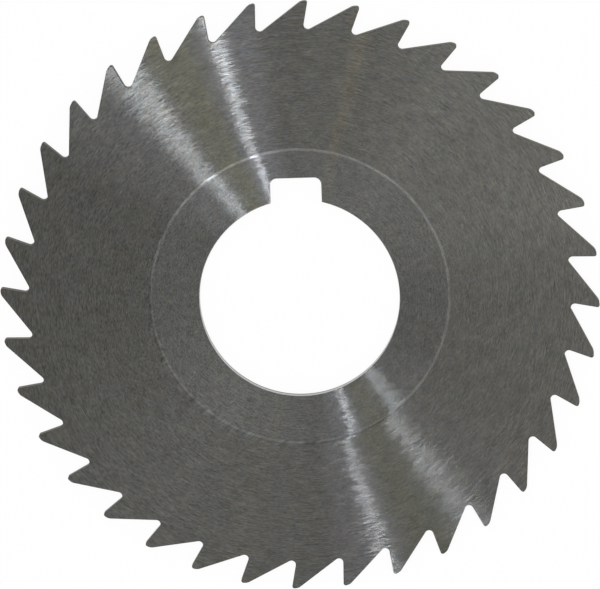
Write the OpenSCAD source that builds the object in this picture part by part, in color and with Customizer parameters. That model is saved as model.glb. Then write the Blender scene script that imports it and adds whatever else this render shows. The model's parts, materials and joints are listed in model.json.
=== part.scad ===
// Plain metal slitting saw: one disc of tool steel with raked teeth, hollow-ground sides,
// flat hub faces and a keyed bore. Millimetres and degrees.
// The saw lies flat on Z = 0. The bore runs along Z, the keyway points to +Y, and seen from
// above the teeth cut clockwise.

/* [Blank] */
// Diameter over the tooth tips
outside_d = 76.2; // [64:0.1:104]
// Thickness at the hub faces and at the tooth tips
thickness = 1.19; // [0.6:0.01:3.2]

/* [Arbor fit] */
// Diameter of the bore
bore_d = 25.4; // [16:0.1:30]
// Width of the keyway
keyway_w = 6.5; // [3:0.01:8]
// Depth of the keyway's floor beyond the bore
keyway_depth = 2.75; // [1:0.05:4]
// Radius in the two corners of the keyway's floor
keyway_corner_r = 0.9; // [0.1:0.05:1.4]

/* [Hub and side relief] */
// Width of the flat hub face around the bore
hub_face_w = 6.2; // [5:0.05:9]
// Depth of the hollow grind beside the hub, on each side
relief_depth = 0.08; // [0.02:0.01:0.2]
// Width of the sloped run-out at the edge of the hub
relief_runout_w = 0.25; // [0.1:0.05:1]

/* [Teeth] */
// Number of teeth
tooth_count = 36; // [28:1:56]
// Hook of the tooth face from the radius through its cutting edge
rake_angle = 7.7; // [0:0.1:15]
// Length of the land behind the cutting edge
land_w = 0.9; // [0.3:0.05:1.4]
// Fall of the land below the tangent at the cutting edge
land_relief_angle = 10; // [2:0.5:20]
// Fall of the tooth's back below the same tangent
back_angle = 40; // [30:0.5:50]
// Radius of the heel between the land and the back
heel_r = 1.2; // [0.1:0.05:2]
// Radius at the bottom of the gullet
gullet_r = 0.55; // [0.2:0.05:0.9]
// Angle from the keyway's middle to the first cutting edge clockwise of it
tooth_phase = 3.5; // [0:0.1:10]

/* [Hidden] */
// Straight steps that make up one rounded corner
arc_steps = 10;
// How far a cutter runs past the face that it cuts
overrun = 1;
$fn = 128;

outside_r = outside_d / 2;
bore_r = bore_d / 2;
hub_r = bore_r + hub_face_w;
relief_start_r = hub_r + relief_runout_w;
relief_slope = relief_depth / (outside_r - relief_start_r);
keyway_floor_y = bore_r + keyway_depth;
tooth_pitch = 360 / tooth_count;

// One tooth, drawn with its cutting edge straight above the axis.
tip = [0, outside_r];
face_direction = [-sin(rake_angle), -cos(rake_angle)];
heel = tip - land_w * [cos(land_relief_angle), sin(land_relief_angle)];
back_direction = -[cos(back_angle), sin(back_angle)];
next_heel = turned(heel, tooth_pitch);
gullet = crossing(tip, face_direction, next_heel, turned(back_direction, tooth_pitch));
own_gullet = turned(gullet, -tooth_pitch);

function unit(v) = v / norm(v);

// Point p turned clockwise about the axis by angle a.
function turned(p, a) = [p.x * cos(a) + p.y * sin(a), p.y * cos(a) - p.x * sin(a)];

// Where the line through p along u meets the line through q along v.
function crossing(p, u, q, v) = p + u * cross(q - p, v) / cross(u, v);

// Largest radius, up to r, that rounds the corner b of the path a, b, c within both its sides.
function fitting_r(a, b, c, r) =
    let (half = acos(unit(a - b) * unit(c - b)) / 2)
    min(r, tan(half) * min(norm(a - b), norm(c - b)) * 0.9);

// Points along the arc that rounds the corner b of the path a, b, c.
function rounded(a, b, c, r) =
    let (
        u = unit(a - b),
        v = unit(c - b),
        half = acos(u * v) / 2,
        arc_r = fitting_r(a, b, c, r),
        centre = b + unit(u + v) * arc_r / sin(half),
        start = b + u * arc_r / tan(half) - centre,
        sweep = sign(cross(u, v)) * (180 - 2 * half)
    )
    [for (i = [0 : arc_steps]) centre + turned(start, sweep * i / arc_steps)];

function tooth_outline() = concat(
    rounded(own_gullet, heel, tip, heel_r),
    [tip],
    rounded(tip, gullet, next_heel, gullet_r)
);

// The toothed disc seen from above.
module toothed_profile() {
    tooth = tooth_outline();
    polygon([
        for (i = [0 : tooth_count - 1])
            for (p = tooth) turned(p, tooth_phase + i * tooth_pitch)
    ]);
}

// Half section of the ground blank: full thickness at the hub and at the tips, hollow between.
module ground_section() {
    polygon([
        [0, 0],
        [hub_r, 0],
        [relief_start_r, relief_depth],
        [outside_r + overrun, -overrun * relief_slope],
        [outside_r + overrun, thickness + overrun * relief_slope],
        [relief_start_r, thickness - relief_depth],
        [hub_r, thickness],
        [0, thickness]
    ]);
}

// The keyway seen from above, from the axis to its floor.
module keyway_profile() {
    half_w = keyway_w / 2;
    left = [-half_w, keyway_floor_y];
    right = [half_w, keyway_floor_y];
    polygon(concat(
        [[half_w, 0], [-half_w, 0]],
        rounded([-half_w, bore_r], left, [0, keyway_floor_y], keyway_corner_r),
        rounded([0, keyway_floor_y], right, [half_w, bore_r], keyway_corner_r)
    ));
}

module saw_blade() {
    color([0.35, 0.35, 0.34])
    difference() {
        intersection() {
            rotate_extrude() ground_section();
            translate([0, 0, -overrun])
                linear_extrude(thickness + 2 * overrun) toothed_profile();
        }
        translate([0, 0, -overrun])
            cylinder(r = bore_r, h = thickness + 2 * overrun);
        translate([0, 0, -overrun])
            linear_extrude(thickness + 2 * overrun) keyway_profile();
    }
}

saw_blade();
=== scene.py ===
"""Slitting saw: a thin disc of ground tool steel, lying flat and seen almost straight from above.

Lengths are in millimetres and angles in degrees until a mesh, a lamp or the camera is made.
Directions around the bore are counted from +X towards +Y, and around the teeth clockwise from +Y.
"""
import json
import math

import bpy
import numpy as np
from mathutils import Matrix, Vector


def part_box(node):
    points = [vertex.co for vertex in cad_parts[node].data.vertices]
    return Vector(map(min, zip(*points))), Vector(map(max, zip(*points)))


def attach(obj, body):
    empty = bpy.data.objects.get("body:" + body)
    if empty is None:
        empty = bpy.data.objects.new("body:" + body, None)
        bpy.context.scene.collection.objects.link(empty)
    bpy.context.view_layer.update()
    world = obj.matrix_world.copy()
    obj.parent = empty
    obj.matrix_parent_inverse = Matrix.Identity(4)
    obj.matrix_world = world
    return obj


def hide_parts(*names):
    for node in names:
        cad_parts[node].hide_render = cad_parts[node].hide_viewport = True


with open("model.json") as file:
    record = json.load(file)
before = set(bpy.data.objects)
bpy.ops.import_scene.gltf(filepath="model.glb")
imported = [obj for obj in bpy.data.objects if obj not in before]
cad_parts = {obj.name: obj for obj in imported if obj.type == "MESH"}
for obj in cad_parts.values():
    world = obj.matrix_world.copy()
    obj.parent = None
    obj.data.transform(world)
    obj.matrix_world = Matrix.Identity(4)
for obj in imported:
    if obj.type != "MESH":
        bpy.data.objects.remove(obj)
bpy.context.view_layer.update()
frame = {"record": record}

MM = 0.001

# Sizes that the frame gives.
mounts = {mount["name"]: mount for mount in frame["record"]["mounts"]}
bore_r = mounts["arbor_bore"]["dims"]["r_mm"]
keyway_floor = mounts["keyway"]["pos_m"][1] / MM
lowest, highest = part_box("saw_blade")
thickness = (highest.z - lowest.z) / MM

# Sizes repeated from the part's source.
outside_d = 76.2
outside_r = outside_d / 2
keyway_w = 6.5
keyway_corner_r = 0.9
hub_face_w = 6.2
hub_r = bore_r + hub_face_w
relief_depth = 0.08
relief_runout_w = 0.25
relief_start_r = hub_r + relief_runout_w
tooth_count = 36
tooth_pitch = 360 / tooth_count
tooth_phase = 3.5
rake_angle = 7.7
land_w = 0.9
land_relief_angle = 10
back_angle = 40
heel_r = 1.2
gullet_r = 0.55

# Finish of the edges.
tip_hone_r = 0.28
edge_break = 0.03
bore_chamfer = 0.05

# Rings of the mesh between the teeth and the bore, and rows between the teeth and the first ring.
tooth_ring_r = 33.2
keyway_ring_r = 16.4
body_rings = (30.0, 26.5, 23.0, 20.5)
hub_rings = (17.8,)
tooth_rows = 5

# Steps of the mesh along one tooth, in order, and along the keyway.
back_steps = 8
heel_steps = 6
land_steps = 2
tip_steps = 4
face_steps = 6
gullet_steps = 14
keyway_floor_steps = 40
keyway_corner_steps = 12
keyway_wall_steps = 10

# Edges of the mesh that turn by more than this are shaded sharp.
sharp_angle = 12


def turned(points, angle):
    """Points turned clockwise about the bore's axis."""
    a = math.radians(angle)
    x, y = points[..., 0], points[..., 1]
    return np.stack([x * math.cos(a) + y * math.sin(a), y * math.cos(a) - x * math.sin(a)], -1)


def slope(angle):
    """A direction that runs to -X and falls below it by angle."""
    a = math.radians(angle)
    return np.array([-math.cos(a), -math.sin(a)])


def unit(v):
    """The direction of v, of length 1."""
    return v / np.linalg.norm(v)


def cross(u, v):
    """The signed area between u and v."""
    return u[0] * v[1] - u[1] * v[0]


def crossing(p, u, q, v):
    """Where the line through p along u meets the line through q along v."""
    return p + u * cross(q - p, v) / cross(u, v)


def rounded(a, b, c, r, steps):
    """Points along the arc of radius r that rounds the corner b of the path a, b, c."""
    u, v = unit(a - b), unit(c - b)
    half = math.acos(u @ v) / 2
    centre = b + unit(u + v) * r / math.sin(half)
    start = b + u * r / math.tan(half) - centre
    sweep = math.copysign(180 - math.degrees(2 * half), cross(u, v))
    return np.array([centre + turned(start, sweep * i / steps) for i in range(steps + 1)])


def stretch(p, q, steps):
    """Points from p towards q, both left out."""
    return np.array([p + (q - p) * i / steps for i in range(1, steps)])


def tooth_loop():
    """The toothed outline, clockwise.

    With it comes, for each point, the angle at which its line to the bore meets the tooth ring.
    """
    tip = np.array([0.0, outside_r])
    face = -np.array([math.sin(math.radians(rake_angle)), math.cos(math.radians(rake_angle))])
    heel = tip + land_w * slope(land_relief_angle)
    next_heel = turned(heel, tooth_pitch)
    gullet = crossing(tip, face, next_heel, turned(slope(back_angle), tooth_pitch))
    own_gullet = turned(gullet, -tooth_pitch)
    heel_arc = rounded(own_gullet, heel, tip, heel_r, heel_steps)
    tip_arc = rounded(heel, tip, gullet, tip_hone_r, tip_steps)
    gullet_arc = rounded(tip, gullet, next_heel, gullet_r, gullet_steps)
    back_start = turned(gullet_arc[-1], -tooth_pitch)
    tooth = np.concatenate([
        stretch(back_start, heel_arc[0], back_steps),
        heel_arc,
        stretch(heel_arc[-1], tip_arc[0], land_steps),
        tip_arc,
        stretch(tip_arc[-1], gullet_arc[0], face_steps),
        gullet_arc,
    ])
    run = np.linalg.norm(np.diff(np.vstack([back_start, tooth]), axis=0), axis=1).cumsum()
    share = run / run[-1]
    middle = len(tooth) - 1 - len(gullet_arc) // 2
    root_angle = math.degrees(math.atan2(tooth[middle][0], tooth[middle][1]))
    angles = root_angle + tooth_pitch * (share - share[middle])
    starts = tooth_phase + tooth_pitch * np.arange(tooth_count)
    outline = np.concatenate([turned(tooth, start) for start in starts])
    return outline, np.concatenate([angles + start for start in starts])


def bore_loop(count, first_angle):
    """The bore with its keyway, clockwise, in count points, and the angle of each.

    The loop starts at the point on the keyway's floor that is nearest to first_angle.
    """
    half_w = keyway_w / 2
    floor_middle = np.array([0.0, keyway_floor])
    corner = np.array([half_w, keyway_floor])
    mouth = np.array([half_w, math.sqrt(bore_r ** 2 - half_w ** 2)])
    right_arc = rounded(floor_middle, corner, mouth, keyway_corner_r, keyway_corner_steps)
    right = np.concatenate([right_arc, stretch(right_arc[-1], mouth, keyway_wall_steps), [mouth]])
    left = right[::-1] * (-1, 1)
    floor = stretch(left[-1], right[0], keyway_floor_steps)
    mouth_angle = math.degrees(math.asin(half_w / bore_r))
    arc_count = count - len(right) - len(left) - len(floor)
    arc_angles = np.linspace(mouth_angle, 360 - mouth_angle, arc_count + 2)[1:-1]
    arc = np.array([turned(np.array([0.0, bore_r]), angle) for angle in arc_angles])
    loop = np.concatenate([floor, right, arc, left])
    floor_angles = np.degrees(np.arctan2(floor[:, 0], floor[:, 1]))
    first = int(np.argmin(np.abs(floor_angles - first_angle)))
    loop = np.roll(loop, -first, axis=0)
    return loop, np.degrees(np.unwrap(np.arctan2(loop[:, 0], loop[:, 1])))


def inset(loop, distance):
    """A clockwise closed loop moved to its right-hand side, which is inwards, with mitred corners."""
    along = np.roll(loop, -1, axis=0) - loop
    along /= np.linalg.norm(along, axis=1)[:, None]
    right = np.stack([along[:, 1], -along[:, 0]], -1)
    before = np.roll(right, 1, axis=0)
    mitre = (right + before) / (1 + (right * before).sum(1))[:, None]
    return loop + mitre * distance


def side_depth(r):
    """How far the ground side lies below the hub face at radius r."""
    runout = np.interp(r, [hub_r, relief_start_r], [0.0, relief_depth])
    hollow = relief_depth * (outside_r - r) / (outside_r - relief_start_r)
    return np.where(r < relief_start_r, runout, np.maximum(hollow, 0.0))


def upper_rows():
    """Loops over the upper side, from the top of the tooth flanks to the top of the bore wall.

    With them comes the finish of each strip between two loops.
    """
    outline, tooth_angles = tooth_loop()
    bore, bore_angles = bore_loop(len(outline), tooth_angles[0])
    land = inset(outline, edge_break)
    rim = inset(bore, -bore_chamfer)

    def ring(r):
        share = np.clip((tooth_ring_r - r) / (tooth_ring_r - keyway_ring_r), 0, 1)
        angles = np.radians(tooth_angles + (bore_angles - tooth_angles) * share)
        return np.stack([r * np.sin(angles), r * np.cos(angles)], -1)

    root = ring(tooth_ring_r)
    ring_radii = (tooth_ring_r, *body_rings, relief_start_r, hub_r, *hub_rings, keyway_ring_r)
    side = [land + (root - land) * i / tooth_rows for i in range(tooth_rows)]
    side += [ring(r) for r in ring_radii]
    side.append(rim)
    loops = [(outline, edge_break)] + [(loop, 0.0) for loop in side] + [(bore, bore_chamfer)]
    rows = []
    for loop, drop in loops:
        z = thickness - side_depth(np.linalg.norm(loop, axis=1)) - drop
        rows.append(np.column_stack([loop, z]))
    strips = ["edge"] + ["side"] * (len(side) - 1) + ["bore"]
    return rows, strips


def saw_mesh(finishes):
    """The whole saw as one closed grid.

    Its rows run over the upper side, down the bore, back under the lower side and up the teeth.
    """
    upper, strips = upper_rows()
    lower = [row * (1, 1, -1) + (0, 0, thickness) for row in upper[::-1]]
    rows = np.array(upper + lower)
    strips = strips + ["bore"] + strips[::-1] + ["flank"]
    row_count, count, _ = rows.shape
    index = np.arange(row_count * count).reshape(row_count, count)
    below = np.roll(index, -1, axis=0)
    corners = [index, np.roll(index, -1, axis=1), np.roll(below, -1, axis=1), below]
    quads = np.stack(corners, -1).reshape(-1, 4)
    mesh = bpy.data.meshes.new("saw_blade_ground")
    mesh.from_pydata((rows.reshape(-1, 3) * MM).tolist(), [], quads.tolist())
    names = list(finishes)
    for name in names:
        mesh.materials.append(finishes[name])
    strip_slots = np.repeat([names.index(strip) for strip in strips], count)
    mesh.polygons.foreach_set("material_index", strip_slots.astype(np.int32))
    mesh.polygons.foreach_set("use_smooth", np.ones(len(quads), bool))
    mesh.set_sharp_from_angle(angle=math.radians(sharp_angle))
    mesh.update()
    return mesh


class Graph:
    """The nodes of a material or the world, with a short call for each kind used here.

    A value is a socket or a constant.
    """

    def __init__(self, owner, shader="Principled BSDF"):
        owner.use_nodes = True
        self.owner = owner
        self.nodes = owner.node_tree.nodes
        self.links = owner.node_tree.links
        self.shader = self.nodes[shader]

    def put(self, socket, value):
        if isinstance(value, bpy.types.NodeSocket):
            self.links.new(value, socket)
        else:
            socket.default_value = value

    def node(self, kind, inputs=(), **settings):
        made = self.nodes.new(kind)
        for name, value in settings.items():
            setattr(made, name, value)
        for key, value in dict(inputs).items():
            self.put(made.inputs[key], value)
        return made

    def math(self, operation, a, b=0.0):
        return self.node("ShaderNodeMath", {0: a, 1: b}, operation=operation).outputs[0]

    def vector(self, operation, a, b=(0.0, 0.0, 0.0)):
        return self.node("ShaderNodeVectorMath", {0: a, 1: b}, operation=operation).outputs[0]

    def length(self, a):
        return self.node("ShaderNodeVectorMath", {0: a}, operation="LENGTH").outputs["Value"]

    def scale(self, a, factor):
        return self.node("ShaderNodeVectorMath", {0: a, "Scale": factor}, operation="SCALE").outputs[0]

    def dot(self, a, b):
        return self.node("ShaderNodeVectorMath", {0: a, 1: b}, operation="DOT_PRODUCT").outputs["Value"]

    def parts(self, a):
        return self.node("ShaderNodeSeparateXYZ", {0: a}).outputs

    def join(self, x, y, z):
        return self.node("ShaderNodeCombineXYZ", {0: x, 1: y, 2: z}).outputs[0]

    def ramp(self, value, low, high, start=0.0, end=1.0):
        """A smooth step from start at low to end at high."""
        inputs = {"Value": value, 1: low, 2: high, 3: start, 4: end}
        return self.node("ShaderNodeMapRange", inputs, interpolation_type="SMOOTHSTEP").outputs[0]

    def noise(self, place, detail=0.0):
        """Noise about zero, one cell to a unit of place."""
        inputs = {"Vector": place, "Scale": 1.0, "Detail": detail}
        made = self.node("ShaderNodeTexNoise", inputs, noise_dimensions="3D")
        return self.math("SUBTRACT", made.outputs[0], 0.5)

    def mix(self, share, a, b):
        """A colour from a to b. The node's inputs 6 and 7 and its output 2 are the ones for colours."""
        made = self.node("ShaderNodeMix", {0: share, 6: a, 7: b}, data_type="RGBA")
        return made.outputs[2]

    def surface(self, share, other):
        """Blends a share of another shader over the material's own."""
        blend = self.node("ShaderNodeMixShader", {0: share, 1: self.shader.outputs[0], 2: other.outputs[0]})
        self.put(self.nodes["Material Output"].inputs["Surface"], blend.outputs[0])


# Ground sides: a satin base under a share of fine grooves, which draw each lamp out into a streak.
body_colour = (0.112, 0.111, 0.103, 1.0)
hub_colour = (0.119, 0.119, 0.113, 1.0)
side_roughness = 0.45
streak_share = 0.65
streak_roughness = 0.163
streak_narrowness = 0.868
streak_flatness = 0.15

# The body's grooves are circles about the bore. The hub's have a centre beside it and turn in a little,
# and the two meet over a band around the hub's edge.
hub_groove_centre = (0.59, 0.78, 0.0)
hub_groove_turn = 0.019
hub_groove_blend = (-0.6, 0.8)

# Patterns along the grooves: length at the rim, width, and a shift that sets each apart from the others.
grain_pattern = (0.6, 0.12, 59.0)
brushed_pattern = (1.8, 0.1, 73.0)
mottle_pattern = (2.2, 1.3, 61.0)
hue_mottle_pattern = (1.3, 0.9, 67.0)
hue_grain_pattern = (0.4, 0.2, 71.0)
tilt_pattern = (2.0, 0.13, 17.0)
wander_pattern = (2.4, 0.12, 43.0)
fibre_pattern = (2.2, 0.11, 83.0)
fibre_detail = 1.0

# How strongly each pattern shows in the brightness, in the hue and in the run of the grooves.
grain_tone = 0.63
brushed_tone = 0.36
mottle_tone = 0.22
mottle_hue = 0.1
grain_hue = 0.05
grain_tilt = 0.16
fibre_wander = 0.15
fibre_tone = 1.5

# The grain is stronger on one side, and painted light makes the hub brighter on that side than on the
# other.
rough_side = (-1.0, 0.0, 0.0)
rough_side_grain = 1.5
hub_painted_light = (-0.09, 0.0, 0.0)

# Bright specks, and sparse scratches in about one direction. Scales are noise cells per millimetre.
# A speck or scratch shows where its noise lies above the first level, in full from the second.
speck_scale = 5.0
speck_levels = (0.25, 0.32)
speck_tone = 0.5
scratch_angle = 51.57
scratch_scale = (14.0, 0.3, 0.0)
scratch_bend = (0.5, 0.0, 0.0)
scratch_bend_scale = 0.12
scratch_levels = (0.22, 0.3)
scratch_tone = 0.3

# The bright line at the edge of the hub, where the grinding wheel ran out, is a painted highlight.
# How much of it shows goes by the direction from the centre: full towards the lit side, faint opposite to
# it.
line_highlight_colour = (0.187, 0.187, 0.18, 1.0)
line_centre = (0.05, 0.16, 0.0)
line_beyond_hub = 0.06
line_r = hub_r + line_beyond_hub
line_half_w = 0.24
line_core_half_w = 0.08
line_lit_side = (0.5, 0.866, 0.0)
line_faint_until = -0.5
line_lit_from = -0.2
line_faint_share = 0.38

# Walls of the teeth and the bore, with fine lines across the thickness.
wall_line_scale = (9.0, 9.0, 1.2)
wall_line_detail = 2.0
edge_colour = (0.07, 0.068, 0.062)
edge_tint = (0.3, 0.3, 0.3, 1.0)
flank_colour = (0.12, 0.117, 0.108)
flank_tint = (0.8, 0.78, 0.74, 1.0)
tooth_wall_roughness = 0.45
tooth_line_tone = 0.9
tooth_line_roughness = 0.2

# The bore's wall is darker over its lower part, a painted contact shadow where it meets the floor, and
# lighter above. The two heights are shares of the thickness.
bore_shadow_colour = (0.06, 0.059, 0.055, 1.0)
bore_lit_colour = (0.43, 0.43, 0.42, 1.0)
bore_shadow_until = 0.3
bore_lit_from = 0.65
bore_roughness = 0.3


def metal(name):
    """A new material of bare metal."""
    g = Graph(bpy.data.materials.new(name))
    g.shader.inputs["Metallic"].default_value = 1.0
    return g


def millimetres(g):
    """The place on the surface in millimetres."""
    return g.scale(g.node("ShaderNodeTexCoord").outputs["Object"], 1 / MM)


def specks(g, place):
    """Small bright specks."""
    return g.ramp(g.noise(g.scale(place, speck_scale)), *speck_levels, 0.0, speck_tone)


def scratches(g, place):
    """Sparse fine scratches, all in about one direction."""
    bend = g.scale(scratch_bend, g.noise(g.scale(place, scratch_bend_scale)))
    inputs = {"Vector": g.vector("ADD", place, bend), "Angle": math.radians(scratch_angle)}
    along = g.node("ShaderNodeVectorRotate", inputs, rotation_type="Z_AXIS").outputs[0]
    shown = g.ramp(g.noise(g.vector("MULTIPLY", along, scratch_scale)), *scratch_levels)
    return g.math("MULTIPLY", shown, scratch_tone)


def hub_line_highlight(g, place, radial):
    """How much of the painted highlight on the line at the edge of the hub shows."""
    offset = g.math("SUBTRACT", g.length(g.vector("SUBTRACT", place, line_centre)), line_r)
    on_line = g.ramp(g.math("ABSOLUTE", offset), line_core_half_w, line_half_w, 1.0, 0.0)
    side = g.dot(radial, line_lit_side)
    lit_share = g.ramp(side, line_faint_until, line_lit_from, line_faint_share, 1.0)
    return g.math("MULTIPLY", on_line, lit_share)


def ground_side():
    """The two ground sides of the saw."""
    g = metal("ground_side")
    place = g.vector("MULTIPLY", millimetres(g), (1.0, 1.0, 0.0))
    in_hub = g.ramp(g.length(place), hub_r, relief_start_r, 1.0, 0.0)
    blend_start, blend_end = (hub_r + offset for offset in hub_groove_blend)
    hub_grooves = g.ramp(g.length(place), blend_start, blend_end, 1.0, 0.0)
    from_centre = g.vector("SUBTRACT", place, g.scale(hub_groove_centre, hub_grooves))
    sideways = g.vector("CROSS_PRODUCT", from_centre, (0.0, 0.0, 1.0))
    turned_in = g.scale(sideways, g.math("MULTIPLY", hub_grooves, hub_groove_turn))
    radial = g.vector("NORMALIZE", g.vector("ADD", from_centre, turned_in))
    tangent = g.vector("CROSS_PRODUCT", (0.0, 0.0, 1.0), radial)
    radius = g.length(from_centre)

    def arcs(pattern, strength, detail=0.0):
        """Noise in short arcs along the grooves."""
        length, width, shift = pattern
        around = g.scale(radial, outside_r / length)
        cell = g.vector("ADD", around, g.join(shift, shift, g.math("DIVIDE", radius, width)))
        return g.math("MULTIPLY", g.noise(cell, detail), strength)

    # The hub line's colour is a painted highlight laid over the side's colour.
    colour = g.mix(hub_line_highlight(g, place, radial), g.mix(in_hub, body_colour, hub_colour), line_highlight_colour)
    marks = g.math("ADD", specks(g, place), scratches(g, place))
    rough = g.ramp(g.dot(radial, rough_side), 0.0, 1.0, 1.0, rough_side_grain)
    fine = g.math("ADD", arcs(grain_pattern, grain_tone), arcs(brushed_pattern, brushed_tone))
    grain = g.math("ADD", g.math("MULTIPLY", fine, rough), arcs(mottle_pattern, mottle_tone))
    # Painted light: the hub is made brighter on one side than on the other.
    hub_side_light = g.math("MULTIPLY", in_hub, g.dot(radial, hub_painted_light))
    brightness = g.math("ADD", g.math("ADD", 1.0, hub_side_light), g.math("ADD", grain, marks))
    hue = g.math("ADD", arcs(hue_mottle_pattern, mottle_hue), arcs(hue_grain_pattern, grain_hue))
    tint = g.join(g.math("ADD", 1.0, hue), 1.0, g.math("SUBTRACT", 1.0, hue))
    toned = g.scale(g.vector("MULTIPLY", colour, tint), brightness)
    g.put(g.shader.inputs["Base Color"], toned)
    g.shader.inputs["Roughness"].default_value = side_roughness

    normal = g.node("ShaderNodeNewGeometry").outputs["Normal"]
    flattened = g.vector("MULTIPLY", normal, (streak_flatness, streak_flatness, 1.0))
    tilt = g.scale(radial, arcs(tilt_pattern, grain_tilt))
    wander = g.scale(radial, arcs(wander_pattern, fibre_wander, fibre_detail))
    fibres = g.math("ADD", 1.0, arcs(fibre_pattern, fibre_tone, fibre_detail))
    streaks = g.node("ShaderNodeBsdfAnisotropic", {
        "Color": g.scale(toned, fibres),
        "Roughness": streak_roughness,
        "Anisotropy": streak_narrowness,
        "Normal": g.vector("NORMALIZE", g.vector("ADD", flattened, tilt)),
        "Tangent": g.vector("ADD", tangent, wander),
    })
    g.surface(streak_share, streaks)
    return g.owner


def wall_lines(g, place):
    """Fine lines across the thickness."""
    return g.noise(g.vector("MULTIPLY", place, wall_line_scale), wall_line_detail)


def tooth_wall(name, colour, tint):
    """A wall of the teeth, of that colour from the front and that tint at a glancing angle."""
    g = metal(name)
    lines = wall_lines(g, millimetres(g))
    brightness = g.math("ADD", 1.0, g.math("MULTIPLY", lines, tooth_line_tone))
    roughness = g.math("ADD", tooth_wall_roughness, g.math("MULTIPLY", lines, tooth_line_roughness))
    g.put(g.shader.inputs["Base Color"], g.scale(colour, brightness))
    g.put(g.shader.inputs["Roughness"], roughness)
    g.shader.inputs["Specular Tint"].default_value = tint
    return g.owner


def bore_wall():
    """The wall of the bore and keyway, with a painted contact shadow over the lower part of its height and
    lighter above.
    """
    g = metal("bore_wall")
    place = millimetres(g)
    # Painted shade: the lower part of the wall is dark, as a contact shadow at the floor.
    bore_lit_share = g.ramp(g.parts(place)["Z"], bore_shadow_until * thickness, bore_lit_from * thickness)
    colour = g.mix(bore_lit_share, bore_shadow_colour, bore_lit_colour)
    brightness = g.math("ADD", 1.0, wall_lines(g, place))
    g.put(g.shader.inputs["Base Color"], g.scale(colour, brightness))
    g.shader.inputs["Roughness"].default_value = bore_roughness
    return g.owner


def add_blade():
    """The dressed saw, in place of the solid one."""
    finishes = {
        "side": ground_side(),
        "edge": tooth_wall("edge_break", edge_colour, edge_tint),
        "flank": tooth_wall("tooth_flank", flank_colour, flank_tint),
        "bore": bore_wall(),
    }
    blade = bpy.data.objects.new("ground_saw_blade", saw_mesh(finishes))
    bpy.context.scene.collection.objects.link(blade)
    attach(blade, "root")
    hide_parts("saw_blade")


add_blade()

# Camera: leans from the axis towards the keyway, with the keyway up in the picture.
picture_width = 600
pixels_per_mm = 7.886
camera_distance = 759.0
camera_lean = 11.94
camera_side = 78.15
picture_up_side = 87.97
view_centre_right = 0.061
view_centre_up = 0.437
sensor_w = 36.0


def compass(angle):
    """The level direction at that angle around the bore."""
    a = math.radians(angle)
    return Vector((math.cos(a), math.sin(a), 0.0))


def leaning(side, lean):
    """The direction that leans from straight up towards side."""
    a = math.radians(lean)
    return compass(side) * math.sin(a) + Vector((0.0, 0.0, math.cos(a)))


face_centre = Vector((0.0, 0.0, thickness))
towards_camera = leaning(camera_side, camera_lean)


def placed(name, data, place, x_axis, y_axis, z_axis):
    """A new object at a place in millimetres, with its own axes along those directions."""
    turn = Matrix((x_axis, y_axis, z_axis)).transposed().to_4x4()
    made = bpy.data.objects.new(name, data)
    made.matrix_world = Matrix.Translation(place * MM) @ turn
    bpy.context.scene.collection.objects.link(made)
    return made


def add_camera():
    """The camera, at the scale and distance that the photo's perspective gives."""
    right = compass(picture_up_side).cross(towards_camera).normalized()
    up = towards_camera.cross(right)
    data = bpy.data.cameras.new("camera")
    data.sensor_width = sensor_w
    data.lens = pixels_per_mm * camera_distance * sensor_w / picture_width
    place = face_centre + towards_camera * camera_distance + right * view_centre_right + up * view_centre_up
    bpy.context.scene.camera = placed("camera", data, place, right, up, towards_camera)


add_camera()

# Lamps. Each shows in the grooves at its streak angle, a narrow one as a streak and a wide one as a sheen.
# Name: streak angle, lean, spread of the streak, reach, distance, radiance, colour.
lamps = {
    "narrow_strip": (105.8, 0.4, 1.8, 0.3, 1300, 55.0, (0.86, 0.895, 1.0)),
    "narrow_glow": (104.0, 0.4, 14.0, 0.3, 1600, 4.5, (0.755, 0.775, 1.0)),
    "wide_strip": (125.1, 0.4, 5.8, 0.3, 700, 19.3, (0.865, 0.92, 1.0)),
    "wide_glow": (130.0, 0.4, 24.0, 0.3, 1000, 2.9, (0.86, 0.87, 1.0)),
    "gap_strip": (115.3, 0.4, 9.0, 0.3, 700, 3.2, (1.0, 1.0, 0.55)),
    "warm_strip": (75.0, 0.4, 3.5, 0.3, 300, 1.3, (1.0, 0.75, 0.1)),
    "top_box": (80.0, 0.4, 50.0, 0.4, 1600, 0.84, (1.0, 0.965, 0.92)),
    "upper_right_box": (38.0, 0.4, 44.0, 0.4, 200, 1.32, (1.0, 0.995, 0.96)),
    "right_box": (353.0, 0.4, 76.0, 0.4, 140, 0.92, (1.0, 0.96, 0.96)),
    "lower_box": (245.0, 0.3, 60.0, 0.3, 1600, 1.35, (0.89, 0.89, 1.0)),
}


def add_lamp(name, streak, lean, spread, reach, distance, radiance, colour):
    """A lamp whose streak lies at the angle streak and is spread degrees wide.

    lean is how far the lamp stands from where the camera's mirror image would be, and reach is its
    length along the streak, both as shares of the distance. radiance is its brightness beside the
    white of the floor.
    """
    along = compass(streak)
    level = along * lean - Vector((towards_camera.x, towards_camera.y, 0.0))
    direction = level + Vector((0.0, 0.0, math.sqrt(1 - level.length_squared)))
    sideways = along.cross(direction).normalized()
    lengthways = direction.cross(sideways)
    width = lean * math.radians(spread) * distance * MM
    length = reach * distance * MM
    data = bpy.data.lights.new(name, "AREA")
    data.shape = "RECTANGLE"
    data.size = width
    data.size_y = length
    data.energy = radiance * width * length * math.pi
    data.color = colour
    lamp = placed(name, data, face_centre + direction * distance, sideways, lengthways, direction)
    lamp.visible_camera = False


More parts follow.
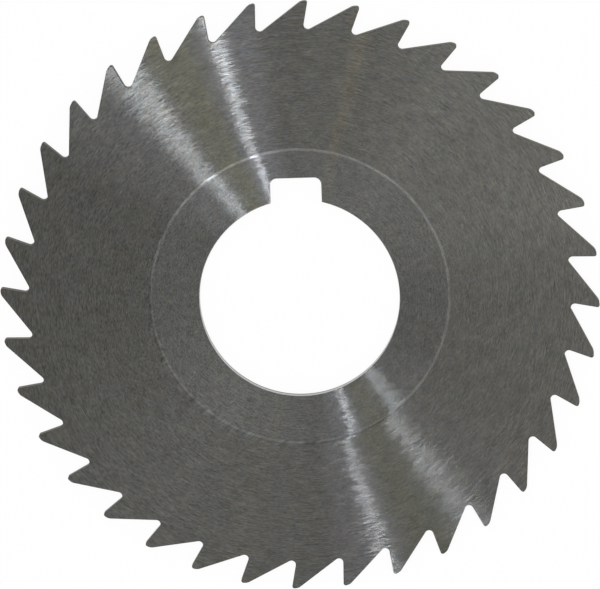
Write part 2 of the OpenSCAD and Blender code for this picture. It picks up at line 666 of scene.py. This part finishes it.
for lamp_name, settings in lamps.items():
    add_lamp(lamp_name, *settings)

# Soft light from all around, brighter towards the horizon. Heights are angles above the horizon.
sky_colour = (0.99, 1.0, 0.945, 1.0)
overhead_strength = 0.385
horizon_strength = 0.85
horizon_height = 30.0
overhead_height = 60.0


def add_sky():
    """The world's light."""
    g = Graph(bpy.data.worlds.new("soft_light"), "Background")
    height = g.parts(g.node("ShaderNodeTexCoord").outputs["Generated"])["Z"]
    low, high = (math.sin(math.radians(angle)) for angle in (horizon_height, overhead_height))
    g.put(g.shader.inputs["Strength"], g.ramp(height, low, high, horizon_strength, overhead_strength))
    g.shader.inputs["Color"].default_value = sky_colour
    bpy.context.scene.world = g.owner


add_sky()

# White floor that keeps the saw's shadow.
floor_half_w = 3000.0
floor_drop = 0.01
floor_colour = (0.95, 0.95, 0.95, 1.0)
floor_white = (1.0, 1.0, 1.0, 1.0)
floor_white_share = 0.95


def floor_material():
    """A matt floor that looks almost plain white to the camera and in reflections."""
    g = Graph(bpy.data.materials.new("floor_white"))
    g.shader.inputs["Base Color"].default_value = floor_colour
    g.shader.inputs["Roughness"].default_value = 1.0
    g.shader.inputs["Specular IOR Level"].default_value = 0.0
    light_path = g.node("ShaderNodeLightPath").outputs
    seen = g.math("MAXIMUM", light_path["Is Camera Ray"], light_path["Is Glossy Ray"])
    seen = g.math("MAXIMUM", seen, light_path["Is Transmission Ray"])
    glow = g.node("ShaderNodeEmission", {"Color": floor_white, "Strength": 1.0})
    g.surface(g.math("MULTIPLY", seen, floor_white_share), glow)
    return g.owner


def add_floor():
    """A large level square just under the saw."""
    signs = ((-1, -1), (1, -1), (1, 1), (-1, 1))
    corners = [(x * floor_half_w * MM, y * floor_half_w * MM, -floor_drop * MM) for x, y in signs]
    mesh = bpy.data.meshes.new("floor")
    mesh.from_pydata(corners, [], [(0, 1, 2, 3)])
    mesh.materials.append(floor_material())
    floor = bpy.data.objects.new("floor", mesh)
    bpy.context.scene.collection.objects.link(floor)


add_floor()
bpy.context.scene.view_settings.view_transform = "Standard"
